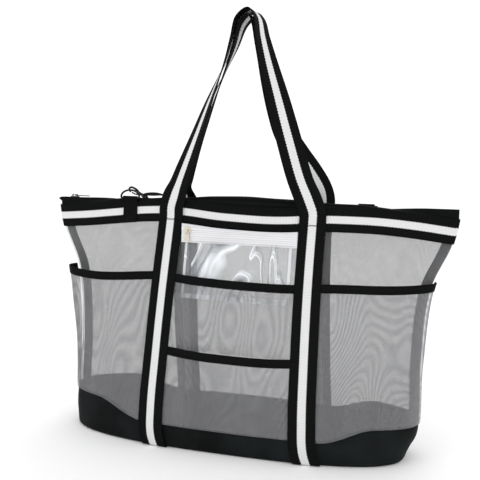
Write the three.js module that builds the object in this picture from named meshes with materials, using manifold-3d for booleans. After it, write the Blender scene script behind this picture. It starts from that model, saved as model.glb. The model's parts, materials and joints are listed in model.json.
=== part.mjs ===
// A see-through beach tote: mesh walls on a black fabric base, striped webbing straps and handles,
// outside pockets, a clear zip pouch, a zipped top and a clip on a D-ring.
// Millimetres, +Z up. The origin is the middle of the base on the floor; the front faces -Y and X runs along
// the bag.
import * as THREE from 'three';
import { mergeVertices } from 'three/addons/utils/BufferGeometryUtils.js';
import Module from 'manifold-3d';

const wasm = await Module();
wasm.setup();

// ---- Driving dimensions ----
const GAP = 0.4; // clearance between neighbouring pieces
const MESH = 0.8; // thickness of the net
const FABRIC = 1.6; // thickness of the base cloth
const WEBBING = 1.9; // thickness of strap and handle webbing
const STRAP_WIDTH = 38;
const BAND_WIDTH = 35;
const BINDING_HEIGHT = 12.4;
const BINDING_THICK = 2.4;
const STRAP_OFFSET = 2.6; // from the wall to the inner face of a strap
const HINGE_HEIGHT = 337; // the stitch line where each handle leaves its strap
const HANDLE_TOP = 640;
const HANDLE_YAW = THREE.MathUtils.degToRad(9); // how far the top of the loops has turned
const POCKET_RIM = 249;
const LOWER_RIM = 145;
const POUCH_BOTTOM = 218;
const ZIP_START = -292;
const ZIP_END = 286;
const ZIP_TOP = 356.5;
const SLIDER_X = -284; // closed position of the top slider
const RING_X = 175; // both D-ring tabs, left at the front and right at the back

const [FRONT, BACK] = [-1, 1];
const [LEFT, RIGHT] = [-1, 1];

// ---- Materials ----
const cloth = (color, roughness = 0.9) => new THREE.MeshStandardMaterial({ color, roughness });
const metal = (color, roughness) => new THREE.MeshStandardMaterial({ color, roughness, metalness: 1 });
const blackCloth = cloth(0x111214);
const stripedWebbing = cloth(0x8c8c8c);
const greyNet = cloth(0xa8a9ad, 0.7);
const bindingTape = cloth(0x0d0d0f);
const greyTape = cloth(0x55585c);
const whiteTape = cloth(0xf2f2f2, 0.5);
const clearSheet = cloth(0xdfe6ea, 0.1);
clearSheet.transparent = true;
clearSheet.opacity = 0.4;
const darkMetal = metal(0x45433c, 0.35);
const paleGold = metal(0xd9c79a, 0.3);
const blackPlastic = cloth(0x0c0c0d, 0.4);

// ---- Geometry helpers ----
const lerp = THREE.MathUtils.lerp;
const clamp = THREE.MathUtils.clamp;
const smooth = (value, low, high) => THREE.MathUtils.smoothstep(value, low, high);

// A smooth function through knots given as [position, value].
function through(knots) {
  const curve = new THREE.CubicInterpolant(knots.map((k) => k[0]), knots.map((k) => k[1]), 1);
  return (at) => curve.evaluate(at)[0];
}

function signedVolume(geometry) {
  const { position } = geometry.attributes;
  const [a, b, c] = [new THREE.Vector3(), new THREE.Vector3(), new THREE.Vector3()];
  let sum = 0;
  for (let i = 0; i < geometry.index.count; i += 3) {
    a.fromBufferAttribute(position, geometry.index.getX(i));
    b.fromBufferAttribute(position, geometry.index.getX(i + 1));
    c.fromBufferAttribute(position, geometry.index.getX(i + 2));
    sum += a.dot(b.cross(c));
  }
  return sum / 6;
}

// Moves every vertex of a closed geometry, then turns its faces outwards if the move mirrored it.
function reshape(geometry, move) {
  const { position } = geometry.attributes;
  const point = new THREE.Vector3();
  for (let i = 0; i < position.count; i += 1) {
    move(point.fromBufferAttribute(position, i));
    position.setXYZ(i, point.x, point.y, point.z);
  }
  if (signedVolume(geometry) < 0) geometry.setIndex([...geometry.index.array].reverse());
  geometry.computeVertexNormals();
  return geometry;
}

// A closed sheet: place(u, v, w, point) sets the point at u along, v across and w through it, each 0 to 1.
function sheet(along, across, place) {
  const box = new THREE.BoxGeometry(1, 1, 1, along, across, 1);
  return reshape(box, (p) => place(p.x + 0.5, p.y + 0.5, p.z + 0.5, p));
}

// A closed wire ring: outline(angle) gives the 2-D centre line, laid in the XZ plane.
function wireRing(outline, radius, steps) {
  const torus = new THREE.TorusGeometry(10, radius, 6, steps);
  const small = 1e-3;
  return reshape(torus, (p) => {
    const angle = Math.atan2(p.y, p.x);
    const away = Math.hypot(p.x, p.y) - 10;
    const centre = outline(angle);
    const tangent = outline(angle + small).sub(outline(angle - small)).normalize();
    p.set(centre.x + tangent.y * away, p.z, centre.y - tangent.x * away);
  });
}

function solid(geometry) {
  const plain = new THREE.BufferGeometry();
  plain.setAttribute('position', geometry.attributes.position);
  if (geometry.index) plain.setIndex(geometry.index);
  const merged = mergeVertices(plain, 1e-4);
  return new wasm.Manifold(new wasm.Mesh({
    numProp: 3,
    vertProperties: new Float32Array(merged.attributes.position.array),
    triVerts: new Uint32Array(merged.index.array),
  }));
}

function geometryOf(body) {
  const mesh = body.getMesh();
  const geometry = new THREE.BufferGeometry();
  geometry.setAttribute('position', new THREE.BufferAttribute(mesh.vertProperties, 3));
  geometry.setIndex(new THREE.BufferAttribute(mesh.triVerts, 1));
  geometry.computeVertexNormals();
  return geometry;
}

const joined = (...geometries) => geometryOf(geometries.map(solid).reduce((sum, next) => sum.add(next)));
const without = (geometry, tool) => geometryOf(solid(geometry).subtract(solid(tool)));

function block(x0, x1, y0, y1, z0, z1) {
  return new THREE.BoxGeometry(x1 - x0, y1 - y0, z1 - z0)
    .translate((x0 + x1) / 2, (y0 + y1) / 2, (z0 + z1) / 2);
}

function rod(radius, from, to, sides = 12) {
  const span = new THREE.Vector3().subVectors(to, from);
  const upright = new THREE.Vector3(0, 1, 0);
  const turn = new THREE.Quaternion().setFromUnitVectors(upright, span.clone().normalize());
  const middle = from.clone().add(to).multiplyScalar(0.5);
  return new THREE.CylinderGeometry(radius, radius, span.length(), sides)
    .applyQuaternion(turn).translate(middle.x, middle.y, middle.z);
}

const bag = new THREE.Group();
function add(name, geometry, material) {
  const mesh = new THREE.Mesh(geometry, material);
  mesh.name = name;
  bag.add(mesh);
  return mesh;
}

// ---- The wall: one smooth outline at every height, rounded at the base and a thin lens at the mouth ----
const halfLength = through([
  [0, 255], [14, 258.5], [35, 264], [60, 266.5], [140, 265], [250, 274], [312, 299], [362, 309],
]);
const halfDepth = through([[0, 84], [14, 87], [35, 88], [138, 70], [243, 50], [312, 38], [362, 34]]);
const seamHalfGap = through([[0, 0.4], [60, 0.4], [200, 4.4], [362, 4.4]]);
const seamHeight = (x) => 36.5 + 24 * smooth(-x, 118, 205) + 21 * smooth(x, 130, 205);
const bandMiddle = through([
  [-302, 327.3], [-250, 331.7], [-200, 337.4], [-150, 342.6], [-110, 344.2], [-75, 341.8], [-35, 338.1],
  [0, 336.5], [40, 335.6], [70, 336.6], [105, 339.4], [150, 340.3], [200, 339.6], [250, 335.8], [302, 329.7],
]);
const footShift = (z) => -7 * (1 - smooth(z, 0, 45)); // the foot of the base leans a little to the left
const bandTop = (x) => bandMiddle(x) + BAND_WIDTH / 2;

function wallOutline(angle, z) {
  const rise = z / 350;
  const along = Math.abs(Math.sin(angle));
  const fullness = (1 - along ** (2.6 - 0.6 * rise)) ** (0.385 + 0.615 * rise ** 1.3);
  const gap = seamHalfGap(z);
  const x = halfLength(z) * Math.sin(angle) + footShift(z);
  return new THREE.Vector2(x, -gap - (halfDepth(z) - gap) * fullness);
}

// The wall's point at an angle from the middle (0) to a side seam (90 degrees), moved outwards by offset.
function wallPoint(angle, z, offset, side, point = new THREE.Vector3()) {
  const step = 0.004;
  const inner = clamp(angle, step - Math.PI / 2, Math.PI / 2 - step);
  const centre = wallOutline(angle, z);
  const tangent = wallOutline(inner + step * 0.9, z).sub(wallOutline(inner - step * 0.9, z)).normalize();
  return point.set(centre.x + tangent.y * offset, -side * (centre.y - tangent.x * offset), z);
}

const angleAt = (x, z) => Math.asin(clamp((x - footShift(z)) / halfLength(z), -1, 1));
const wallAt = (x, z, offset, side, point) => wallPoint(angleAt(x, z), z, offset, side, point);
const strapX = (z) => 106 + 6 * (1 - z / HINGE_HEIGHT);
// Both straps sag a little to the left at mid height and veer right where they go under the base.
const strapSway = through([[0, 6], [18, 1], [60, -1.8], [130, -3.2], [220, -3.4], [280, -2.2], [337, 0]]);
const strapMiddle = (end, z) => end * strapX(z) + strapSway(z);

// A sheet on the wall between two angles; low and high give its edges by x, offset is by u and v.
function wallSheet({ side, from = -Math.PI / 2, to = Math.PI / 2, low, high, offset, thick, along, across }) {
  return sheet(along, across, (u, v, w, point) => {
    const angle = lerp(from, to, u);
    const x = halfLength(200) * Math.sin(angle);
    const z = lerp(low(x), high(x), v);
    wallPoint(angle, z, offset(u, v) + w * thick, side, point);
  });
}

// ---- Base and walls ----
function baseBottom() {
  const outline = [];
  const steps = 22;
  for (const side of [FRONT, BACK]) {
    for (let i = 0; i < steps; i += 1) {
      const angle = side * (Math.PI / 2 - (Math.PI * (i + 0.5)) / steps);
      const p = wallPoint(angle, 0, -FABRIC / 2 - GAP, side);
      outline.push(new THREE.Vector2(p.x, p.y));
    }
  }
  return new THREE.ExtrudeGeometry(new THREE.Shape(outline), { depth: 2, bevelEnabled: false });
}

function baseWall(side) {
  return sheet(36, 4, (u, v, w, point) => {
    const angle = lerp(-Math.PI / 2, Math.PI / 2, u);
    const x = halfLength(40) * Math.sin(angle);
    wallPoint(angle, seamHeight(x) * v ** 1.5, (w - 0.5) * FABRIC, side, point);
  });
}

function wallNet(side) {
  return wallSheet({
    side,
    low: (x) => seamHeight(x) + 1.5 * GAP,
    high: (x) => bandMiddle(x) - 10,
    offset: () => -MESH,
    thick: MESH,
    along: 34,
    across: 6,
  });
}

// The seam allowance of each side, bound with tape, stands inwards between the two walls.
function sideBinding(end) {
  return sheet(14, 1, (u, v, w, point) => {
    const z = lerp(60, 314, u);
    point.set(end * (halfLength(z) - 1.5 - 14 * v), (w - 0.5) * 2, z);
  });
}

// ---- Top band, closure and zip ----
function topBand(side) {
  return wallSheet({
    side,
    low: (x) => bandMiddle(x * 1.15) - BAND_WIDTH / 2,
    high: (x) => bandMiddle(x * 1.15) + BAND_WIDTH / 2,
    offset: () => GAP,
    thick: WEBBING - 0.1,
    along: 44,
    across: 1,
  });
}

const closureCrest = through([
  [-302, 357.4], [-265, 357.4], [-230, 358.8], [-195, 360.6], [-162, 359], [-130, 360], [-100, 362], [-50, 366],
  [0, 367.3], [50, 365.6], [100, 362.8], [150, 361.4], [200, 360.6], [302, 361.2],
]);
const CLOSURE_HALF = 305;
const CLOSURE_INNER_Y = 3.7;
const CLOSURE_DIP_Z = 354.5; // the closure's edge along the middle of the zip
const CLOSURE_THICK = 1;

// The closure's cross-section at x: a puffed arch in the middle of the bag, a plain slope at its narrow ends.
function closurePath(x, v) {
  const puff = 1 - smooth(Math.abs(x), 160, 265);
  const top = closureCrest(x) - CLOSURE_THICK / 2;
  const outerY = Math.max(-wallAt(x, bandTop(x), 0, FRONT).y - 1.4, CLOSURE_INNER_Y);
  const outerZ = bandTop(x) - 8;
  const innerZ = lerp(top, CLOSURE_DIP_Z, puff);
  const arch = puff * (top - lerp(outerZ, innerZ, 0.55));
  return new THREE.Vector2(
    lerp(outerY, CLOSURE_INNER_Y, v),
    lerp(outerZ, innerZ, v) + arch * Math.sin(Math.PI * Math.abs(v) ** 1.15) ** 2,
  );
}

// The black cloth rises from behind the band, puffs up and dips to the zip.
function closureStrip(side) {
  return sheet(36, 6, (u, v, w, point) => {
    const x = lerp(-CLOSURE_HALF, CLOSURE_HALF, u);
    const centre = closurePath(x, v);
    const tangent = closurePath(x, v + 0.01).sub(closurePath(x, v - 0.01)).normalize();
    const offset = (w - 0.5) * CLOSURE_THICK;
    point.set(x, side * (centre.x - tangent.y * offset), centre.y + tangent.x * offset);
  });
}

// Half a zip: a tape that hangs inside the closure, with its row of teeth along the top.
function zipHalf(side) {
  const levels = [ZIP_TOP - 13, ZIP_TOP - 4.6, ZIP_TOP - 4, ZIP_TOP];
  const thick = [0.8, 0.8, 2, 2];
  return sheet(8, 3, (u, v, w, point) => {
    const level = Math.round(v * 3);
    point.set(lerp(ZIP_START, ZIP_END, u), side * (2.8 - w * thick[level]), levels[level]);
  });
}

function zipTail() {
  const tail = new THREE.Shape();
  tail.moveTo(-293, 343);
  tail.lineTo(-293, 355.5);
  tail.lineTo(-309, 357);
  tail.quadraticCurveTo(-313, 356.5, -311, 353.5);
  tail.lineTo(-303, 343);
  return new THREE.ExtrudeGeometry(tail, { depth: 2.4, bevelEnabled: false, curveSegments: 5 })
    .rotateX(Math.PI / 2).translate(0, 1.2, 0);
}

function zipStop() {
  return block(ZIP_END + GAP, ZIP_END + 5, -2.7, 2.7, ZIP_TOP - 4.2, ZIP_TOP + 0.8);
}

// The slider rides over the teeth: its neck passes between the two rows and its foot runs under them.
function slider(x, top, half) {
  const plate = block(x - half, x + half, -3.4, 3.4, top + 0.4, top + 1.9);
  const neck = block(x - half, x + half - 3, -0.45, 0.45, top - 6, top + 0.6);
  const foot = block(x - half, x + half, -1.5, 1.5, top - 6.6, top - 4.5);
  const bridge = block(x - 4.5, x + 4.5, -1, 1, top + 1.5, top + 5.2);
  const bridgeHole = block(x - 3.2, x + 3.2, -2, 2, top + 1.9, top + 4);
  return without(joined(plate, neck, foot, bridge), bridgeHole);
}

const PULL_PIVOT_X = SLIDER_X + 2.2;
const PULL_PIVOT_Z = ZIP_TOP + 2.9;

// The pull tab's end bar passes under the slider's bridge; the tab lies along the zip.
function pullTab() {
  const [x, z] = [PULL_PIVOT_X, PULL_PIVOT_Z];
  const tab = new THREE.Shape();
  tab.moveTo(x - 0.7, -2.9);
  tab.lineTo(x + 17, -2.3);
  tab.absarc(x + 20, 0, 3.2, -0.8, 0.8, false);
  tab.lineTo(x + 17, 2.3);
  tab.lineTo(x - 0.7, 2.9);
  const hole = new THREE.Path();
  hole.moveTo(x + 0.7, -1.6);
  hole.lineTo(x + 5, -1.6);
  hole.lineTo(x + 5, 1.6);
  hole.lineTo(x + 0.7, 1.6);
  tab.holes.push(hole);
  return new THREE.ExtrudeGeometry(tab, { depth: 1.2, bevelEnabled: false, curveSegments: 6 })
    .translate(0, 0, z - 0.6);
}

// ---- Sewn straps and handles ----
function sewnStrap(end, side) {
  return sheet(1, 22, (u, v, w, point) => {
    const z = lerp(0.5, HINGE_HEIGHT - 0.3, v ** 1.3);
    const x = strapMiddle(end, z) + (u - 0.5) * STRAP_WIDTH;
    wallAt(x, z, STRAP_OFFSET + w * WEBBING, side, point);
  });
}

const HANDLE_FOOT = HINGE_HEIGHT + GAP;
const HANDLE_CROWN = -1; // the top of the loops hangs a little left of the middle
// Each leg's middle line as [x, z], from the stitch line to just short of the crown.
const HANDLE_LEGS = {
  [FRONT]: {
    left: [[-106.2, HANDLE_FOOT], [-106.2, 348], [-102, 364], [-93, 392], [-75.5, 448], [-57.5, 508],
      [-37, 567], [-28, 598], [-18.5, 629]],
    right: [[106.2, HANDLE_FOOT], [106.2, 348], [99.5, 366], [86, 395], [67, 451], [48.5, 508],
      [29, 566], [18.5, 600], [10.5, 629]],
  },
  [BACK]: {
    left: [[-106.2, HANDLE_FOOT], [-108, 350], [-112, 364], [-113.5, 381], [-109.5, 396], [-97.5, 433],
      [-76.5, 490], [-54.5, 541], [-40.5, 570], [-27, 598], [-14.5, 629]],
    right: [[106.2, HANDLE_FOOT], [107.4, 350], [109, 364], [106, 381], [89, 410], [70, 436],
      [51.5, 465], [39.5, 500], [28.5, 541], [20.5, 575], [14, 600], [6, 629]],
  },
};
// How far the webbing has turned at each height, in degrees; both handles turn the same way.
const WALL_TURN = 4.5;
const handleTurn = (side) => through([
  [HINGE_HEIGHT, -side * WALL_TURN], [350, -side * WALL_TURN], [364, -side * 6], [381, 24], [408, 30],
  [435, 34.5], [493, 46], [544, 60.5], [595, 75.5], [HANDLE_TOP, 90],
]);
const HANDLE_CLEAR = 0.5; // the handle stands this much further off the band than its strap
const HINGE_Y = -wallAt(106, HINGE_HEIGHT, STRAP_OFFSET + HANDLE_CLEAR + WEBBING / 2, FRONT).y;

// The middle line of a handle; the inner handle nests under the outer one.
function handleCurve(side, inset) {
  const place = ([x, z]) => {
    const rise = clamp((z - 362) / (HANDLE_TOP - 362), 0, 1);
    const swing = Math.tan(HANDLE_YAW) * (x - HANDLE_CROWN) * smooth(z, 390, 580);
    return new THREE.Vector3(x, side * HINGE_Y * (1 - rise ** 1.4) - swing, z - inset * rise);
  };
  const { left, right } = HANDLE_LEGS[side];
  const spots = [...left, [HANDLE_CROWN, HANDLE_TOP], ...[...right].reverse()];
  return new THREE.CatmullRomCurve3(spots.map(place));
}

// Webbing that faces outwards at the band and turns a quarter, so that it lies flat over the top.
function handle(side, inset) {
  const curve = handleCurve(side, inset);
  const turnAt = handleTurn(side);
  const [tangent, deep, facing, outward, across] = Array.from({ length: 5 }, () => new THREE.Vector3());
  return sheet(60, 2, (u, v, w, point) => {
    curve.getPointAt(u, point);
    curve.getTangentAt(u, tangent);
    const yaw = HANDLE_YAW * smooth(point.z, 365, 470);
    deep.set(Math.sin(yaw), Math.cos(yaw), 0);
    outward.crossVectors(tangent, deep).normalize();
    facing.crossVectors(tangent, outward).normalize();
    const turn = THREE.MathUtils.degToRad(turnAt(Math.min(point.z + inset, HANDLE_TOP)));
    const normal = facing.multiplyScalar(Math.cos(turn)).addScaledVector(outward, Math.sin(turn));
    across.crossVectors(tangent, normal).normalize();
    point.addScaledVector(across, (v - 0.5) * STRAP_WIDTH).addScaledVector(normal, (w - 0.5) * WEBBING);
    if (u === 0 || u === 1) point.z = HANDLE_FOOT;
  });
}

// ---- Pockets ----
const PANEL_OFFSET = 1.2;

// How far a pocket stands off the wall: none at its sewn edges, most at the middle of its rim.
function pocketBulge(most, u, v) {
  return PANEL_OFFSET + most * (1 - Math.abs(2 * u - 1) ** 2.6) * smooth(v, -0.15, 1.05);
}

const sidePocketHigh = {
  [LEFT]: through([[126, 252.3], [138, 251.8], [172, 249.3], [205, 248], [240, 249.4], [270, 252]]),
  [RIGHT]: through([[126, 249.5], [155, 251.8], [195, 253.2], [225, 254.6], [255, 257.2], [270, 258.5]]),
};

function sidePocket(end, bulge) {
  const inner = (z) => angleAt(strapMiddle(end, z) + end * (STRAP_WIDTH / 2 + GAP), z);
  const spot = (u, z, offset, point) => {
    const angle = lerp(inner(z), end * (Math.PI / 2 - 0.02), u);
    return wallPoint(angle, z, offset, FRONT, point);
  };
  const spotX = (u) => lerp(126, 268, Math.sin((u * Math.PI) / 2));
  const top = (u) => sidePocketHigh[end](spotX(u));
  const net = sheet(16, 5, (u, v, w, point) => {
    const low = seamHeight(end * spotX(u)) + 1;
    const z = lerp(low, top(u) - BINDING_HEIGHT - 0.3, v);
    const full = (z - low) / (top(u) - low);
    spot(u, z, pocketBulge(bulge, u, full) + w * MESH, point);
  });
  const binding = sheet(16, 1, (u, v, w, point) => {
    const z = top(u) - BINDING_HEIGHT * (1 - v);
    const offset = pocketBulge(bulge, u, 0.96 + 0.04 * v) + MESH / 2 + (w - 0.5) * BINDING_THICK;
    spot(u, z, Math.max(offset, 1.7 + w * BINDING_THICK), point);
  });
  return { net, binding };
}

function middlePocket({ low, rim, tilt, bulge }) {
  const spot = (u, z, offset, point) => {
    const [left, right] = [LEFT, RIGHT].map((end) => strapMiddle(end, z) - end * (STRAP_WIDTH / 2 + GAP));
    return wallAt(lerp(left, right, u), z, offset, FRONT, point);
  };
  const top = (u) => rim + tilt * (0.5 - u);
  const full = (u, z) => (z - low) / (top(u) - low);
  const net = sheet(12, 4, (u, v, w, point) => {
    const z = lerp(low, top(u) - BINDING_HEIGHT - 0.3, v);
    spot(u, z, pocketBulge(bulge, u, full(u, z)) + w * MESH, point);
  });
  const binding = sheet(12, 1, (u, v, w, point) => {
    const z = top(u) - BINDING_HEIGHT * (1 - v);
    const offset = pocketBulge(bulge, u, full(u, z)) + MESH / 2 + (w - 0.5) * BINDING_THICK;
    spot(u, z, Math.max(offset, 0.3 + w * BINDING_THICK), point);
  });
  return { net, binding };
}

// ---- Clear pouch ----
const POUCH_HALF = 80;
const POUCH_TAPE_HALF = 86;
const POUCH_ZIP_Z = 316.5;
const POUCH_Y = -wallAt(0, POUCH_ZIP_Z, 0, FRONT).y + 4.4; // inner face of the flat zip tape

function pouchSheet(right, offset, thick) {
  return sheet(12, 6, (u, v, w, point) => {
    const z = lerp(POUCH_BOTTOM, 298, v);
    wallAt(lerp(-POUCH_HALF, right, u), z, offset(u, v) + w * thick, FRONT, point);
  });
}

function pouchTape(low, high) {
  return block(-POUCH_TAPE_HALF, POUCH_TAPE_HALF, -POUCH_Y - 0.8, -POUCH_Y, low, high);
}

const POUCH_SLIDER_X = -77;

// The pouch slider grips the gap between its two tapes, plate in front and foot behind.
function pouchSlider() {
  const [x, z, y] = [POUCH_SLIDER_X, POUCH_ZIP_Z, -POUCH_Y];
  const plate = rod(5.4, new THREE.Vector3(x, y - 1.2, z), new THREE.Vector3(x, y - 2.8, z), 20);
  const neck = block(x - 3, x + 3, y - 2, y + 1.6, z - 0.45, z + 0.45);
  const foot = block(x - 3, x + 3, y + 0.4, y + 1.8, z - 2, z + 2);
  const staple = block(x - 1, x + 1, y - 5.6, y - 2.4, z - 3.2, z + 1.2);
  const eye = block(x - 2, x + 2, y - 4.6, y - 2.8, z - 2.2, z + 0.3);
  return without(joined(plate, neck, foot, staple), eye);
}

function pouchPull() {
  const [x, z] = [POUCH_SLIDER_X, POUCH_ZIP_Z - 1.5];
  const tab = new THREE.Shape();
  tab.moveTo(x - 2.6, z + 0.5);
  tab.lineTo(x - 2.8, z - 9.1);
  tab.absarc(x, z - 12, 4, Math.PI * 0.75, Math.PI * 0.25, false);
  tab.lineTo(x + 2.6, z + 0.5);
  const hole = new THREE.Path();
  hole.moveTo(x - 1.5, z - 0.5);
  hole.lineTo(x - 1.5, z - 4.2);
  hole.lineTo(x + 1.5, z - 4.2);
  hole.lineTo(x + 1.5, z - 0.5);
  tab.holes.push(hole);
  return new THREE.ExtrudeGeometry(tab, { depth: 0.9, bevelEnabled: false, curveSegments: 6 })
    .rotateX(Math.PI / 2).translate(0, -POUCH_Y - 3.3, 0);
}

// ---- D-rings ----
const RING_WIRE = 1.5;
const RING_HALF = 15.6;
const RING_RISE = 9.8;
const RING_DROP = 2.4; // from the middle line of the straight bar to the ring's widest place
const TAB_WIDTH = 24;
const TAB_THICK = 1.1;
const TAB_RADIUS = RING_WIRE + 0.7;

const ringOutline = (angle) => {
  const [c, s] = [Math.cos(angle), Math.sin(angle)];
  const width = s >= 0 ? c : Math.sign(c) * Math.abs(c) ** 0.45;
  const rise = s >= 0 ? RING_RISE * s : -RING_DROP * Math.abs(s) ** 0.45;
  return new THREE.Vector2(RING_HALF * width, RING_DROP + rise);
};

// The ring's straight bar: its middle, and how far the wall has turned there.
function ringSeat(end, side) {
  const top = bandTop(end * RING_X);
  const at = (x) => wallAt(x, top, STRAP_OFFSET + TAB_THICK + TAB_RADIUS - 0.6, side);
  const across = at(end * RING_X + 10).sub(at(end * RING_X - 10));
  return { bar: at(end * RING_X).setZ(top + 1.8), slope: across.y / across.x };
}

// The tab runs up the band, round the ring's straight bar and back down to the band's top edge.
function ringTab(end, side) {
  const { bar, slope } = ringSeat(end, side);
  const run = 0.55;
  return sheet(2, 14, (u, v, w, point) => {
    const across = (u - 0.5) * TAB_WIDTH;
    const x = end * RING_X + across;
    const barY = bar.y + slope * across;
    const depth = w * TAB_THICK;
    const reach = TAB_RADIUS + depth;
    if (v < run) {
      const z = lerp(bandMiddle(x) - 17, bar.z - 1, v / run);
      const wall = wallAt(x, z, STRAP_OFFSET + 0.6 + depth, side);
      point.set(x, lerp(wall.y, barY + side * reach, smooth(z, bar.z - 8, bar.z - 1)), z);
      return;
    }
    const turn = ((v - run) / (1 - run)) * Math.PI * 1.1 - 0.15;
    point.set(x, barY + side * reach * Math.cos(turn), bar.z + reach * Math.sin(turn));
  });
}

function addRing(name, end, side, outwards) {
  const { bar, slope } = ringSeat(end, side);
  const ring = add(name, wireRing(ringOutline, RING_WIRE, 36), blackPlastic);
  ring.rotation.set(THREE.MathUtils.degToRad(-side * outwards), 0, Math.atan(slope), 'ZXY');
  ring.position.copy(bar);
}

// ---- Snap hook and its leash ----
// The hook is drawn along +X from the swivel at 0 to the nose, flat in the XZ plane, then turned into place.
const HOOK_AXIS = new THREE.Vector3(-0.64, -0.64, 0.42).normalize();
const perpendicular = (axis) => axis.addScaledVector(HOOK_AXIS, -axis.dot(HOOK_AXIS)).normalize();
const turned = (across) => new THREE.Matrix4().makeBasis(HOOK_AXIS, across, HOOK_AXIS.clone().cross(across));
const HOOK_TURN = turned(perpendicular(new THREE.Vector3(1, 0, 0)));
const EYE_TURN = turned(perpendicular(new THREE.Vector3(0, 1, 0)));
const RING_TOP = ringSeat(LEFT, FRONT).bar.add(new THREE.Vector3(6, 0, RING_DROP + RING_RISE));
const HOOK_FOOT = RING_TOP.clone().sub(new THREE.Vector3(12.5, 0, 1.2).applyMatrix4(HOOK_TURN));

function hookBody() {
  const points = [[4, 1.2], [7, 3.6], [13, 4.6], [18, 3.6], [20.2, 0], [18.6, -3], [16.4, -4]];
  const curve = new THREE.CatmullRomCurve3(points.map(([x, z]) => new THREE.Vector3(x, 0, z)));
  const round = new THREE.Shape().absarc(0, 0, 1.5, 0, Math.PI * 2, false);
  const wire = new THREE.ExtrudeGeometry(round, { steps: 14, extrudePath: curve, curveSegments: 4 });
  const barrel = rod(3.1, new THREE.Vector3(0.4, 0, 0), new THREE.Vector3(5.4, 0, 0), 16);
  const heel = rod(1.5, new THREE.Vector3(4.6, 0, -1), new THREE.Vector3(6.4, 0, -3.4), 8);
  return joined(wire, barrel, heel);
}

function hookGate() {
  return rod(1.1, new THREE.Vector3(8.1, 0, -3.9), new THREE.Vector3(14.4, 0, -3.9), 10);
}

const EYE_FAR = -7.4;
function hookEye() {
  const squared = (value) => Math.sign(value) * Math.abs(value) ** 0.5;
  const outline = (angle) => new THREE.Vector2(3 * squared(Math.cos(angle)), 7 * squared(Math.sin(angle)));
  const loop = wireRing(outline, 1.2, 24).rotateX(Math.PI / 2).translate(EYE_FAR + 3, 0, 0);
  const post = rod(1.6, new THREE.Vector3(-1.6, 0, 0), new THREE.Vector3(0, 0, 0), 12);
  return joined(loop, post);
}

function addOnHook(name, geometry, turn) {
  const mesh = add(name, geometry, blackPlastic);
  mesh.quaternion.setFromRotationMatrix(turn);
  mesh.position.copy(HOOK_FOOT);
}

// A short webbing leash from behind the left strap to the eye, wrapped round the eye's far bar.
function leash() {
  const bar = new THREE.Vector3(EYE_FAR, 0, 0).applyMatrix4(EYE_TURN).add(HOOK_FOOT);
  const barAxis = new THREE.Vector3(0, 1, 0).applyMatrix4(EYE_TURN);
  const away = new THREE.Vector3(1, 0, 0).addScaledVector(barAxis, -barAxis.x).normalize();
  const above = away.clone().cross(barAxis);
  const near = (along, up) => bar.clone().addScaledVector(away, along).addScaledVector(above, up);
  const curve = new THREE.CatmullRomCurve3([
    new THREE.Vector3(-100, -23, 361.4),
    new THREE.Vector3(-114, -21, 363.8),
    new THREE.Vector3(-130, -18.6, 366),
    near(6, 2.8), near(0, 2.5), near(-2.5, 0), near(0, -2.5), near(5, -2),
  ]);
  const [tangent, width, normal] = Array.from({ length: 3 }, () => new THREE.Vector3());
  return sheet(28, 1, (u, v, w, point) => {
    curve.getPointAt(u, point);
    curve.getTangentAt(u, tangent);
    width.set(0, 1, 0).lerp(barAxis, smooth(u, 0.25, 0.6));
    width.addScaledVector(tangent, -width.dot(tangent)).normalize();
    normal.crossVectors(tangent, width);
    point.addScaledVector(width, (v - 0.5) * 10.5).addScaledVector(normal, (w - 0.5) * 0.9);
  });
}

// ---- Assembly ----
add('base_bottom_panel', baseBottom(), blackCloth);
for (const [side, where] of [[FRONT, 'front'], [BACK, 'back']]) {
  add(`${where}_base_wall`, baseWall(side), blackCloth);
  add(`${where}_net_panel`, wallNet(side), greyNet);
  add(`${where}_top_band`, topBand(side), stripedWebbing);
  add(`${where}_closure_strip`, closureStrip(side), blackCloth);
  add(`${where}_zip_tape`, zipHalf(side), blackCloth);
  for (const [end, hand] of [[LEFT, 'left'], [RIGHT, 'right']]) {
    add(`${where}_${hand}_strap`, sewnStrap(end, side), stripedWebbing);
  }
}
add('front_handle', handle(FRONT, 0), stripedWebbing);
add('back_handle', handle(BACK, 8), stripedWebbing);
add('left_side_binding', sideBinding(LEFT), greyTape);
add('right_side_binding', sideBinding(RIGHT), greyTape);
add('zip_tail', zipTail(), blackCloth);
add('zip_end_stop', zipStop(), darkMetal);
add('zip_slider', slider(SLIDER_X, ZIP_TOP, 6), darkMetal);
add('zip_pull', pullTab(), darkMetal);

const pockets = {
  left_pocket: sidePocket(LEFT, 28),
  right_pocket: sidePocket(RIGHT, 19),
  upper_pocket: middlePocket({ low: LOWER_RIM + 2, rim: POCKET_RIM, tilt: 4.5, bulge: 15 }),
  lower_pocket: middlePocket({ low: 38, rim: LOWER_RIM, tilt: 2, bulge: 14 }),
};
for (const [name, { net, binding }] of Object.entries(pockets)) {
  add(`${name}_net`, net, greyNet);
  add(`${name}_binding`, binding, bindingTape);
}

const bulgeOf = (most) => (u, v) => 2.2 + most * Math.sin(Math.PI * u) ** 0.6 * smooth(v, -0.1, 0.9);
add('pouch_back_sheet', pouchSheet(POUCH_HALF - 2, () => 0.9, 0.6), clearSheet);
add('pouch_front_sheet', pouchSheet(POUCH_HALF - 2, bulgeOf(8), 0.6), clearSheet);
add('pouch_lower_tape', pouchTape(298.5, POUCH_ZIP_Z - 0.8), whiteTape);
add('pouch_upper_tape', pouchTape(POUCH_ZIP_Z + 0.8, POUCH_ZIP_Z + 3.6), whiteTape);
add('pouch_slider', pouchSlider(), paleGold);
add('pouch_pull', pouchPull(), paleGold);

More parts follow.
